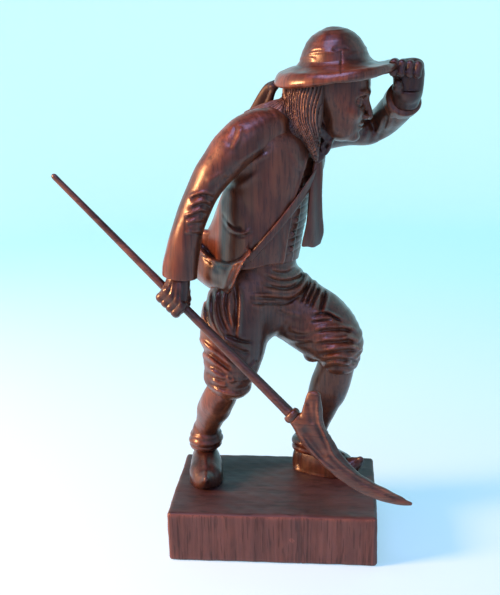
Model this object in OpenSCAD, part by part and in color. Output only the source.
// Carved wooden figure of a countryman on a block base, gripping his hat brim
// and carrying a long-handled hook tool. Glued up from separate carved blocks.
// Millimetres. Origin: on the base's underside, below the waist. +X is the way he looks,
// -Y is the side he shows, +Z is up.

/* [Base] */
// Length of the base block along X
base_w = 204; // [202:1:240]
// Depth of the base block along Y
base_d = 137.5; // [136:0.5:150]
// Thickness of the base block
base_h = 52; // [48:1:80]
// Radius of the block's upright corners
base_corner_r = 6; // [3:1:10]

/* [Figure] */
// Height of the figure from the top of the base to the top of the hat
figure_h = 453; // [440:1:466]

/* [Tool] */
// Radius of the pole at its thin upper end
pole_tip_r = 2.8; // [2.6:0.1:3.2]
// Radius of the pole where it meets the tool head
pole_foot_r = 5; // [4.8:0.1:5.6]
// Running clearance of the pole in the fist, on the radius
grip_gap = 0.08; // [0.03:0.01:0.1]

/* [Fixings] */
// Radius of the thick dowels
dowel_r = 4; // [3:0.5:4.5]
// Radius of the thin wrist dowels
wrist_dowel_r = 2.5; // [2:0.5:3]
// Radius of the base screws' shanks
screw_r = 2; // [1.5:0.25:2.5]

/* [Hidden] */

// Middle of the block, a little behind the origin.
base_at = [-1, 5.25, 0];

// The figure is laid out at this height and scaled to figure_h.
design_h = 453;
k = figure_h / design_h;
sides = 20;         // sides of an ordinary carved form
spline_steps = 3;   // rings between two listed sections
cap_rings = [30, 60, 80];

// The body faces half towards +X and half towards -Y; the head looks along +X.
facing = [0.7071, -0.7071, 0];
left_side = [0.7071, 0.7071, 0];
waist_z = 226;      // glue plane between breeches and waistcoat
hem_z = 238;        // lower edge of the coat

// Joints of the body, from the top of the base.
right_ankle = [-76, 32, 36];
left_ankle = [37, 44, 32];
right_foot_dir = -83;
left_foot_dir = -20;
chest = [11, -3, 352];
hat_seat = [57, 0, 418];
hat_tilt = -4;
right_wrist = [-84, -45, 234];
left_wrist = [120.5, 11, 390];
pole_top = [-204, -20, 323];
pole_foot = [17.4, -72, 111.4];
grip = pole_top + 0.522 * (pole_foot - pole_top);

wood = [0.28, 0.13, 0.07];
dark_wood = [0.2, 0.09, 0.05];
pale_wood = [0.72, 0.55, 0.36];
steel = [0.6, 0.6, 0.62];

// ---- small vector and loft functions ----
function unit(v) = v / norm(v);
function mix(a, b, t) = a * (1 - t) + b * t;
function spline(a, b, c, d, t) = 0.5 * (2 * b + (c - a) * t + (2 * a - 5 * b + 4 * c - d) * t * t
    + (3 * b - a - 3 * c + d) * t * t * t);
// A list of [x, y, z, half_a, half_b] sections, filled in smoothly between the listed ones.
function smooth(s, steps = spline_steps) = let (m = len(s) - 1) [
    for (i = [0:m - 1]) for (j = [0:steps - 1])
        spline(s[max(i - 1, 0)], s[i], s[i + 1], s[min(i + 2, m)], j / steps), s[m]];
function at(s) = [s[0], s[1], s[2]];
function heading(s, i) = unit(at(s[min(i + 1, len(s) - 1)]) - at(s[max(i - 1, 0)]));
// half_a lies along cross(ref, heading) and half_b along the remaining direction.
function ring(c, d, ref, a, b, n) = let (u = unit(cross(ref, d)), v = cross(d, u))
    [for (i = [0:n - 1]) c + a * cos(360 * i / n) * u + b * sin(360 * i / n) * v];
function cap(s, end, ref, n) = let (
    i = end > 0 ? len(s) - 1 : 0, d = heading(s, i), r = min(s[i][3], s[i][4]),
    angles = end > 0 ? cap_rings : [for (j = [2:-1:0]) cap_rings[j]])
    [for (g = angles) ring(at(s[i]) + end * d * r * sin(g), d, ref,
        s[i][3] * cos(g), s[i][4] * cos(g), n)];
function rings(s, ref, n, round_ends) = concat(
    round_ends ? cap(s, -1, ref, n) : [],
    [for (i = [0:len(s) - 1]) ring(at(s[i]), heading(s, i), ref, s[i][3], s[i][4], n)],
    round_ends ? cap(s, 1, ref, n) : []);

// A closed skin over a list of rings with the same number of points.
module skin(r) {
    n = len(r[0]);
    m = len(r);
    polyhedron(
        points = [for (a = r) for (p = a) p],
        faces = concat(
            [[for (i = [0:n - 1]) i]],
            [[for (i = [n - 1:-1:0]) (m - 1) * n + i]],
            [for (j = [0:m - 2]) for (i = [0:n - 1]) for (half = [0, 1])
                let (a = j * n + i, b = j * n + (i + 1) % n, c = a + n, d = b + n)
                half == 0 ? [a, c, b] : [b, c, d]]),
        convexity = 6);
}

module carved(sections, ref, n = sides, round_ends = true, steps = spline_steps)
    skin(rings(smooth(sections, steps), ref, n, round_ends));

// A cylinder of radius r from point a to point b.
module rod(a, b, r, r2 = undef, fn = 32) {
    d = b - a;
    translate(a)
        rotate([0, acos(d[2] / norm(d)), atan2(d[1], d[0])])
            cylinder(h = norm(d), r1 = r, r2 = r2 == undef ? r : r2, $fn = fn);
}

// Everything above the base is drawn from the top of the base.
module stand() translate([0, 0, base_h]) scale(k) children();

// A big block that keeps or removes all that lies above z.
module above(z, tilt = 0, reach = 500) translate([0, 0, z]) rotate([0, tilt, 0])
    translate([-reach, -reach, 0]) cube([2 * reach, 2 * reach, reach]);
module below(z, tilt = 0, reach = 500) translate([0, 0, z]) rotate([0, tilt, 0])
    translate([-reach, -reach, -reach]) cube([2 * reach, 2 * reach, reach]);

// ---- dowel and screw lines, shared by the holes and the pins ----
screw_ground = [[-75, 22, 0], [46, 41, 0]];
screw_grip = 16;
screw_head_r = 4.5;
screw_head_h = 3;
counterbore_r = 6;
counterbore_depth = 9;
screw_clear_r = screw_r + 0.3;

ankle_pin = [[right_ankle - [0, 0, 18], right_ankle + [0, 0, 12]],
             [left_ankle - [0, 0, 18], left_ankle + [0, 0, 12]]];
knee_pin = [[[-51, -11, 106], [-44.5, -22, 124]], [[58, 21, 110], [62.5, 17.5, 132]]];
waist_pin = [[-11, 8, waist_z - 20], [-11, 8, waist_z + 20]];
shoulder_mid = chest - [0, 0, 10];
shoulder_pin = [[shoulder_mid - 22 * left_side, shoulder_mid - 48 * left_side],
                [shoulder_mid + 18 * left_side, shoulder_mid + 48 * left_side]];
wrist_pin = [[right_wrist + [1, 0, 8], right_wrist + [-1.5, 0, -8]],
             [left_wrist + [-1, 5, -7], left_wrist + [0.5, -3, 8]]];
neck_pin = [[8, -7, 332], [34, -3, 376]];
hat_pin = [hat_seat + [-5, 0, -18], hat_seat + [-5, 0, 14]];

// ---- base and feet ----
module base() color(wood) difference() {
    translate(base_at) union() {
        for (x = [-1, 1]) for (y = [-1, 1])
            translate([x * (base_w / 2 - base_corner_r), y * (base_d / 2 - base_corner_r), 0])
                cylinder(h = base_h, r = base_corner_r, $fn = 32);
        translate([-base_w / 2 + base_corner_r, -base_d / 2, 0])
            cube([base_w - 2 * base_corner_r, base_d, base_h]);
        translate([-base_w / 2, -base_d / 2 + base_corner_r, 0])
            cube([base_w, base_d - 2 * base_corner_r, base_h]);
    }
    for (p = screw_ground) translate([p[0] * k, p[1] * k, -1]) {
        cylinder(h = base_h + 2, r = screw_clear_r, $fn = 32);
        cylinder(h = counterbore_depth + 1, r = counterbore_r, $fn = 32);
    }
}

// A clog pointing along +X, its ankle over the origin, with an upturned toe.
module clog_form() intersection() {
    carved([[-20, 0, 9, 6, 9], [-17, 0, 8, 12, 17], [-8, 0, 8, 15, 20],
            [4, 0, 8, 16, 22], [16, 0, 8, 17, 20], [30, 0, 8, 17, 16],
            [41, 0, 9, 14, 12], [48, 0, 12, 8, 8], [53, 0, 16, 2.5, 3]],
           [0, 0, 1], 20, false, 2);
    above(0);
}
module placed_clog(ankle, turn) translate([ankle[0], ankle[1], 0]) rotate([0, 0, turn]) clog_form();
module clog(i, ankle, turn) stand() color(dark_wood) difference() {
    placed_clog(ankle, turn);
    rod(screw_ground[i] - [0, 0, 1], screw_ground[i] + [0, 0, screw_grip], screw_r);
    rod(ankle_pin[i][0], ankle_pin[i][1], dowel_r);
    above(ankle[2] - 6);
}
module right_clog() clog(0, right_ankle, right_foot_dir);
module left_clog() clog(1, left_ankle, left_foot_dir);

// ---- legs ----
// The lower leg with the rolled top of the sock round the ankle.
module shin_form(ankle, sections)
    carved(concat([[ankle[0], ankle[1], ankle[2] - 6, 15, 16],
                   [ankle[0], ankle[1], ankle[2] - 1, 18, 18],
                   [ankle[0], ankle[1], ankle[2] + 5, 18, 18],
                   [ankle[0] + 1, ankle[1] - 1, ankle[2] + 11, 15, 15]], sections),
           [1, 0, 0], 18, false, 2);
module right_shin_form() shin_form(right_ankle,
    [[-72, 27, 56, 12.5, 13], [-64, 11, 78, 14.5, 16.5], [-56, -5, 98, 16, 17],
     [-48, -15, 111, 13.5, 13.5]]);
module left_shin_form() shin_form(left_ankle,
    [[40, 41, 56, 13, 14], [47, 34, 80, 16, 17.5], [54, 26, 102, 18, 19.5],
     [60, 21, 120, 17, 18]]);
module right_stocking() stand() color(wood) difference() {
    right_shin_form();
    rod(ankle_pin[0][0], ankle_pin[0][1], dowel_r);
    rod(knee_pin[0][0], knee_pin[0][1], dowel_r);
}
module left_stocking() stand() color(wood) difference() {
    left_shin_form();
    rod(ankle_pin[1][0], ankle_pin[1][1], dowel_r);
    rod(knee_pin[1][0], knee_pin[1][1], dowel_r);
}

module seat_form() carved([[-11, 7, 246, 31, 29], [-12, 8, 228, 35, 31], [-13, 9, 208, 41, 33],
    [-12, 10, 188, 38, 30], [-10, 11, 184, 26, 22]], facing, 22, false);
module right_thigh_form() carved([[-30, -4, 208, 31, 29], [-36, -12, 184, 35, 32],
    [-38.5, -17, 160, 33.5, 30], [-41, -20, 139, 28, 28], [-43, -19, 124, 23, 23],
    [-47, -15, 111, 16, 17]], facing, 22, false);
module left_thigh_form() carved([[0, 22, 199, 33, 30], [22, 22, 181.5, 33.5, 33],
    [45, 18, 166.5, 33, 33.5], [60, 15, 150, 28, 29], [63, 17, 136, 22, 23],
    [61, 19, 122, 18, 19]], [0, 1, 0], 22, false);
module breeches() stand() color(wood) difference() {
    union() {
        seat_form();
        right_thigh_form();
        left_thigh_form();
    }
    above(waist_z);
    rod(waist_pin[0], waist_pin[1], dowel_r);
    for (p = knee_pin) rod(p[0], p[1], dowel_r);
    right_shin_form();
    left_shin_form();
}

// ---- trunk ----
module waistcoat_form() carved([[-11, 8, 218, 30, 25], [-7, 5, 244, 31, 25], [-2, 2, 270, 33, 26],
    [3, -2, 300, 36, 27], [9, -4, 330, 38, 25], [14, -5, 350, 30, 20], [19, -6, 364, 17, 14]],
    facing, 22, false);
module coat_form() carved([[-18, 4, 226, 40, 38], [-15, 3, 246, 40, 38], [-10, 0, 270, 41, 37],
    [-4, -2, 300, 43, 36], [4, -4, 328, 45, 33], [9, -3, 350, 45, 29], [13, -3, 366, 40, 25],
    [15, -3, 378, 28, 19], [16, -3, 388, 14, 11], [16, -3, 392, 6, 5]], facing, 24, false);
// The open front, drawn flat (distance to his left, height) and pushed through along his facing.
module front_opening() translate([chest[0], chest[1], 0] - 11 * facing) rotate([90, 0, 45])
    linear_extrude(height = 170)
        polygon([[-30, 200], [-24, 262], [-13, 300], [0, 330], [12, 356], [24, 344],
            [34, 318], [44, 280], [60, 240], [60, 200]]);
module neck_form(grow = 0) carved([[14, -6, 350, 13 + grow, 13 + grow],
    [26, -5, 364, 14 + grow, 14 + grow], [38, -3, 378, 15 + grow, 15 + grow]],
    [0, 1, 0], 16, false);

module waistcoat() stand() color(wood) difference() {
    waistcoat_form();
    below(waist_z);
    above(352);
    rod(waist_pin[0], waist_pin[1], dowel_r);
    for (p = shoulder_pin) rod(p[0], p[1], dowel_r);
    rod(neck_pin[0], neck_pin[1], dowel_r);
    neck_form();
}
module coat() stand() color(wood) difference() {
    coat_form();
    intersection() {
        waistcoat_form();
        below(352);
    }
    below(hem_z);
    front_opening();
    for (p = shoulder_pin) rod(p[0], p[1], dowel_r);
    neck_form();
    skull_form();
    rod(neck_pin[0], neck_pin[1], dowel_r);
}
// The left front hangs plumb from the leaning chest, clear of the waistcoat below.
module coat_left_front() stand() color(wood) difference() {
    carved([[36, -12, 258, 11, 3], [37.5, -13, 267, 11.5, 3.2], [38.5, -14, 285, 9, 3],
            [40, -14, 308, 7, 2.8], [41.5, -12, 328, 5.5, 3], [42, -9, 342, 4, 3]],
            facing, 14, false);
    waistcoat_form();
    coat_form();
    kerchief_form();
}

// ---- bag ----
module satchel_form() carved([[-36, -33, 211, 4, 10], [-39, -33, 218, 8, 20], [-43, -32, 231, 10, 31],
    [-45, -30, 247, 10, 34], [-44, -28, 262, 8, 29], [-42, -27, 271, 4, 22]],
    [0.45, -0.89, 0], 20, false);
module satchel() stand() color(wood) difference() {
    satchel_form();
    coat_form();
    waistcoat_form();
    seat_form();
    right_thigh_form();
}
strap_route = [[-24, -46, 250, 4, 2.5], [-8, -46, 272, 3.5, 2.5], [10, -41, 300, 3.5, 2.5],
    [27, -31, 328, 3.5, 2.5], [36, -17, 350, 3.5, 2.5], [35, 0, 368, 3.5, 2.5]];
module satchel_strap() stand() color(dark_wood) difference() {
    carved(strap_route, facing, 10, false);
    coat_form();
    waistcoat_form();
    neck_form();
    satchel_form();
    hair_form();
}

// ---- arms ----
module right_sleeve() stand() color(wood) difference() {
    carved([[-2, -20, 366, 16, 18], [-15, -27, 360, 20, 21], [-32, -34, 349, 20, 21],
            [-46, -39, 335, 17.5, 20], [-58, -42, 318, 15.5, 18.5], [-67.5, -44, 299, 14.5, 17.5],
            [-75, -45, 280, 14.5, 17], [-79.5, -45, 262, 15.5, 17], [-83, -45, 246, 16, 16.5],
            [-84.5, -45, 234, 16, 16], [-85, -45, 230, 16, 16]],
           [0, 1, 0], sides, false);
    coat_form();
    satchel_form();
    below(right_wrist[2]);
    for (p = shoulder_pin) rod(p[0], p[1], dowel_r);
    rod(wrist_pin[0][0], wrist_pin[0][1], wrist_dowel_r);
}
module left_sleeve_form() carved([[34, 20, 358, 18, 18], [50, 30, 359, 17, 18],
    [70, 44, 359, 16, 16.5], [88, 56, 360, 15.5, 16.5], [99, 57, 365, 15.5, 16.5],
    [107, 46, 372, 15.5, 16.5], [114, 30, 380, 15.5, 16], [120, 14, 389, 16, 16],
    [121, 11, 391, 16, 16]], [0, 0, 1], sides, false);
module left_sleeve() stand() color(wood) difference() {
    left_sleeve_form();
    coat_form();
    // room for the jaw and the neck
    rod([54, -2, 359], [54, -2, 400], 20.5);
    above(left_wrist[2]);
    for (p = shoulder_pin) rod(p[0], p[1], dowel_r);
    rod(wrist_pin[1][0], wrist_pin[1][1], wrist_dowel_r);
}

// ---- hands ----
pole_dir = unit(pole_foot - pole_top);
// A direction across the pole, and the one at right angles to both.
pole_up = unit(cross(cross(pole_dir, [0, 0, 1]), pole_dir));
pole_back = cross(pole_dir, pole_up);
finger_r = 4.6;
finger_pitch = 7.2;
// One finger wrapped round the pole, from the knuckle on the near side, under, and up behind.
module wrapped_finger(i) {
    c = grip + pole_dir * (i - 1.5) * finger_pitch;
    reach = 10.5;
    carved([for (a = [100:-45:-170])
            let (p = c + reach * (cos(a) * pole_up - sin(a) * pole_back))
            [p[0], p[1], p[2], finger_r, finger_r]], pole_dir, 10, true, 1);
}
function pole_r(p) = mix(pole_tip_r, pole_foot_r,
    norm(p - pole_top) / norm(pole_foot - pole_top));
module right_hand() stand() color(dark_wood) difference() {
    union() {
        carved([[-84, -46, 236, 10, 11], [-85, -49, 228, 12, 9.5], [-86, -53, 219, 14.5, 7.5],
                [-87, -55, 210, 14, 6]], [0, 1, 0], 16, false, 2);
        for (i = [0:3]) wrapped_finger(i);
        carved([[-80, -41, 226, 5, 5], [-77, -37, 217, 5.5, 5.5], [-79, -36, 207, 5, 5]],
               [0, 1, 0], 10);
        carved([[-85, -46, 230, 11, 9], [-88, -47, 217, 14, 11], [-89.5, -47, 206, 12, 9]],
               [0, 1, 0], 14, false, 2);
    }
    above(right_wrist[2]);
    rod(wrist_pin[0][0], wrist_pin[0][1], wrist_dowel_r);
    rod(grip - pole_dir * 60, grip + pole_dir * 60,
        pole_r(grip - pole_dir * 60) + grip_gap, pole_r(grip + pole_dir * 60) + grip_gap, 48);
}
// A finger as a chain of rounded joints.
module knuckles(chain, r) for (i = [0:len(chain) - 2]) hull() {
    translate(chain[i]) sphere(r = r, $fn = 16);
    translate(chain[i + 1]) sphere(r = r, $fn = 16);
}
module left_hand() stand() color(dark_wood) difference() {
    union() {
        carved([[120.5, 12, 386, 12, 12], [123, 9, 394, 14, 11], [124.5, 5, 404, 15.5, 9],
                [124, 2, 414, 14, 8], [123, 0, 420, 11, 6]], [1, 0, 0], 16, false, 2);
        for (i = [0:3]) {
            across = [-7.1 * i, -2 * i, 0];
            knuckles([across + [133, 6.3, 411], across + [132, 2, 418], across + [129, -4, 421],
                across + [126, -9, 419]], 4.6);
        }
        knuckles([[116, 5, 397], [110, -3, 404], [105, -8, 409]], 5);
    }
    hat_form();
    rod(wrist_pin[1][0], wrist_pin[1][1], wrist_dowel_r);
    below(left_wrist[2]);
}

// ---- head ----
module skull_form() carved([[63, -2, 356, 9, 9], [61, -2, 362, 15, 17], [59, -2, 372, 20, 23],
    [58, -2, 386, 21, 26], [56, -2, 400, 22, 28], [55, -2, 411, 21, 27], [54, -2, 422, 17, 20]],
    [1, 0, 0], sides, false, 2);
module head() stand() color(wood) difference() {
    union() {
        skull_form();
        neck_form();
        // nose
        carved([[84, -2, 390, 2.5, 3], [87.5, -2, 379, 3.5, 4.5], [85.5, -2, 375, 4, 3]],
               [1, 0, 0], 8, true, 1);
    }
    hat_space();
    rod(neck_pin[0], neck_pin[1], dowel_r);
    rod(hat_pin[0], hat_pin[1], dowel_r);
}
hair_front = 46;
module hair_form() {
    carved([[44, -2, 420, 25, 26], [40, -2, 404, 27.5, 29], [35, -3, 388, 28.5, 27],
            [30, -4, 375, 28, 22], [26, -4, 364, 26, 17], [26, -4, 353, 18, 10]],
           [1, 0, 0], sides, false, 2);
    // the part that falls back over the collar
    carved([[24, -3, 381, 9, 20], [10, -3, 377.5, 8.5, 21], [-1, -3, 375.5, 7.5, 19],
            [-11, -3, 373.5, 6, 15], [-20, -2, 371, 4, 9]], [0, 1, 0], 16, true, 1);
    for (side = [-1, 1])
        carved([[37, side * 22 - 2, 408, 6, 9], [35, side * 24 - 2, 390, 6.5, 11],
                [35, side * 25 - 2, 370, 6, 10], [38, side * 24 - 2, 354, 4.5, 6.5],
                [41, side * 22 - 2, 342, 2.5, 3]], [1, 0, 0], 12, false, 2);
}
module hair() stand() color(wood) difference() {
    hair_form();
    translate([hair_front, -100, 300]) cube([100, 200, 160]);
    skull_form();
    neck_form();
    coat_form();
    hat_space();
    left_sleeve_form();
    kerchief_form();
}
module kerchief_form() {
    carved([[44, -16, 366, 4, 6], [50, -8, 358, 5, 7], [52, -2, 355, 5, 7],
            [49, 6, 358, 5, 7], [43, 14, 366, 4, 6]], [0, 0, 1], 12, false, 2);
    carved([[51, -9, 356, 5, 5], [49, -12, 348, 6, 4], [44, -14, 340, 4.5, 2.5]],
           [0, 1, 0], 10);
}
module neckerchief() stand() color(dark_wood) difference() {
    kerchief_form();
    skull_form();
    neck_form();
    coat_form();
    waistcoat_form();
    left_sleeve_form();
    carved(strap_route, facing, 10, false);
}

// ---- hat ----
crown_r = 33;
brim_w = 24;
// How far the brim's edge is lifted at this angle round the hat: most at the front, where he holds it.
function lift(a) = 3 + 3.75 * cos(a) + 0.75 * cos(2 * a);
// [radius, height above the seat, 1 where the height follows the brim]
hat_profile = [[4, 35.8, 0], [13, 33.1, 0], [20, 28.5, 0], [25, 23, 0], [28.5, 16.5, 0],
    [31.5, 8, 0], [35, 3.8, 1], [42, 0.6, 1], [49, -1.5, 1], [55, -4, 1], [58, -8.5, 1],
    [56, -13, 1], [49, -11.6, 1], [41, -8.6, 1], [34, -6.6, 0], [4, -6, 0]];
// The hat's underside carried straight up past the crown, to cut the head and hair by.
space_profile = [[4, 60, 0], [63, 60, 0], [63, -10, 1], [56, -13, 1], [49, -11.6, 1],
    [41, -8.6, 1], [34, -6.6, 0], [4, -6, 0]];
module turned(profile) translate(hat_seat) rotate([0, hat_tilt, 0])
    skin([for (i = [len(profile) - 1:-1:0]) [for (j = [0:27])
        let (a = 360 * j / 28, p = profile[i])
        [p[0] * cos(a), p[0] * sin(a), p[1] + p[2] * lift(a) * (p[0] - crown_r) / brim_w]]]);
module hat_form() turned(hat_profile);
module hat_space() turned(space_profile);
module hat() stand() color(wood) difference() {
    hat_form();
    rod(hat_pin[0], hat_pin[1], dowel_r);
}
module hat_ribbon() stand() color(dark_wood) difference() {
    carved([[3, 10, 404, 3, 4.5], [-4, 12, 399, 3.6, 5], [-9, 14, 391, 4.4, 5.5],
            [-14, 16, 382, 4.8, 6], [-20, 17, 372, 4.4, 6.5], [-26, 16, 356, 3.4, 6.5],
            [-30, 15, 344, 2.5, 5.5]], [0, 1, 0], 12, false, 2);
    hat_form();
    coat_form();
    hair_form();
}

// ---- tool ----
// The pole ends in a tenon that turns in the socket of the tool's head.
tenon_r = 3;
tenon_l = 18;
collar_l = 7;
shoulder_gap = 0.05;
module pole() stand() color(dark_wood) {
    rod(pole_top, pole_foot, pole_tip_r, pole_foot_r, 48);
    rod(pole_foot - 2 * pole_dir, pole_foot + tenon_l * pole_dir, tenon_r, fn = 48);
}
module socket() rod(pole_foot, pole_foot + (tenon_l + 0.5) * pole_dir, tenon_r + grip_gap, fn = 48);
module pole_collar() stand() color(dark_wood) difference() {
    translate(pole_foot + shoulder_gap * pole_dir)
        rotate([0, acos(pole_dir[2]), atan2(pole_dir[1], pole_dir[0])])
            rotate_extrude($fn = 48) polygon([[0, 0], [6.6, 0], [7.8, 1.4], [8.3, 3.5],
                [7.9, 5.6], [6.8, collar_l], [0, collar_l]]);
    socket();
}
module tool_head() stand() color(dark_wood) difference() {
    union() {
        carved([concat(pole_foot + (collar_l - 1) * pole_dir, [6.5, 6.5]),
            [29, -75, 103, 10, 6.5], [38, -77, 93, 13, 6], [48, -79, 80, 12.5, 6],
            [60, -81, 66, 10, 5.5], [73, -83, 54, 8.5, 5], [88, -84, 44, 7.5, 4.5],
            [103, -85, 37, 6.5, 4], [118, -85, 31, 4.5, 3], [131, -85, 28, 1.5, 1.2]],
            [0, 1, 0], 16, false, 2);
        carved([[36, -77, 98, 9, 5], [38, -77, 111, 9.5, 4.6], [39, -76.5, 121, 8, 4.2],
            [39.5, -76, 129, 5, 3.4]], [0, 1, 0], 12);
    }
    rod(pole_foot - 20 * pole_dir, pole_foot + (collar_l + shoulder_gap) * pole_dir, 12);
    socket();
}

// ---- screws and dowels ----
module base_screws() color(steel) for (p = screw_ground)
    translate([p[0] * k, p[1] * k, counterbore_depth - screw_head_h]) {
        cylinder(h = screw_head_h, r = screw_head_r, $fn = 32);
        cylinder(h = base_h - counterbore_depth + screw_head_h + screw_grip * k,
            r = screw_r * k, $fn = 32);
    }
module dowels(lines, r) stand() color(pale_wood) for (p = lines) rod(p[0], p[1], r);

base();
right_clog();
left_clog();
right_stocking();
left_stocking();
breeches();
waistcoat();
coat();
coat_left_front();
satchel();
satchel_strap();
right_sleeve();
right_hand();
left_sleeve();
left_hand();
head();
hair();
neckerchief();
hat();
hat_ribbon();
pole();
pole_collar();
tool_head();
base_screws();
dowels(ankle_pin, dowel_r);  // ankle_dowels
dowels(knee_pin, dowel_r);  // knee_dowels
dowels([waist_pin], dowel_r);  // waist_dowel
dowels(shoulder_pin, dowel_r);  // shoulder_dowels
dowels(wrist_pin, wrist_dowel_r);  // wrist_dowels
dowels([neck_pin], dowel_r);  // neck_dowel
dowels([hat_pin], dowel_r);  // hat_dowel
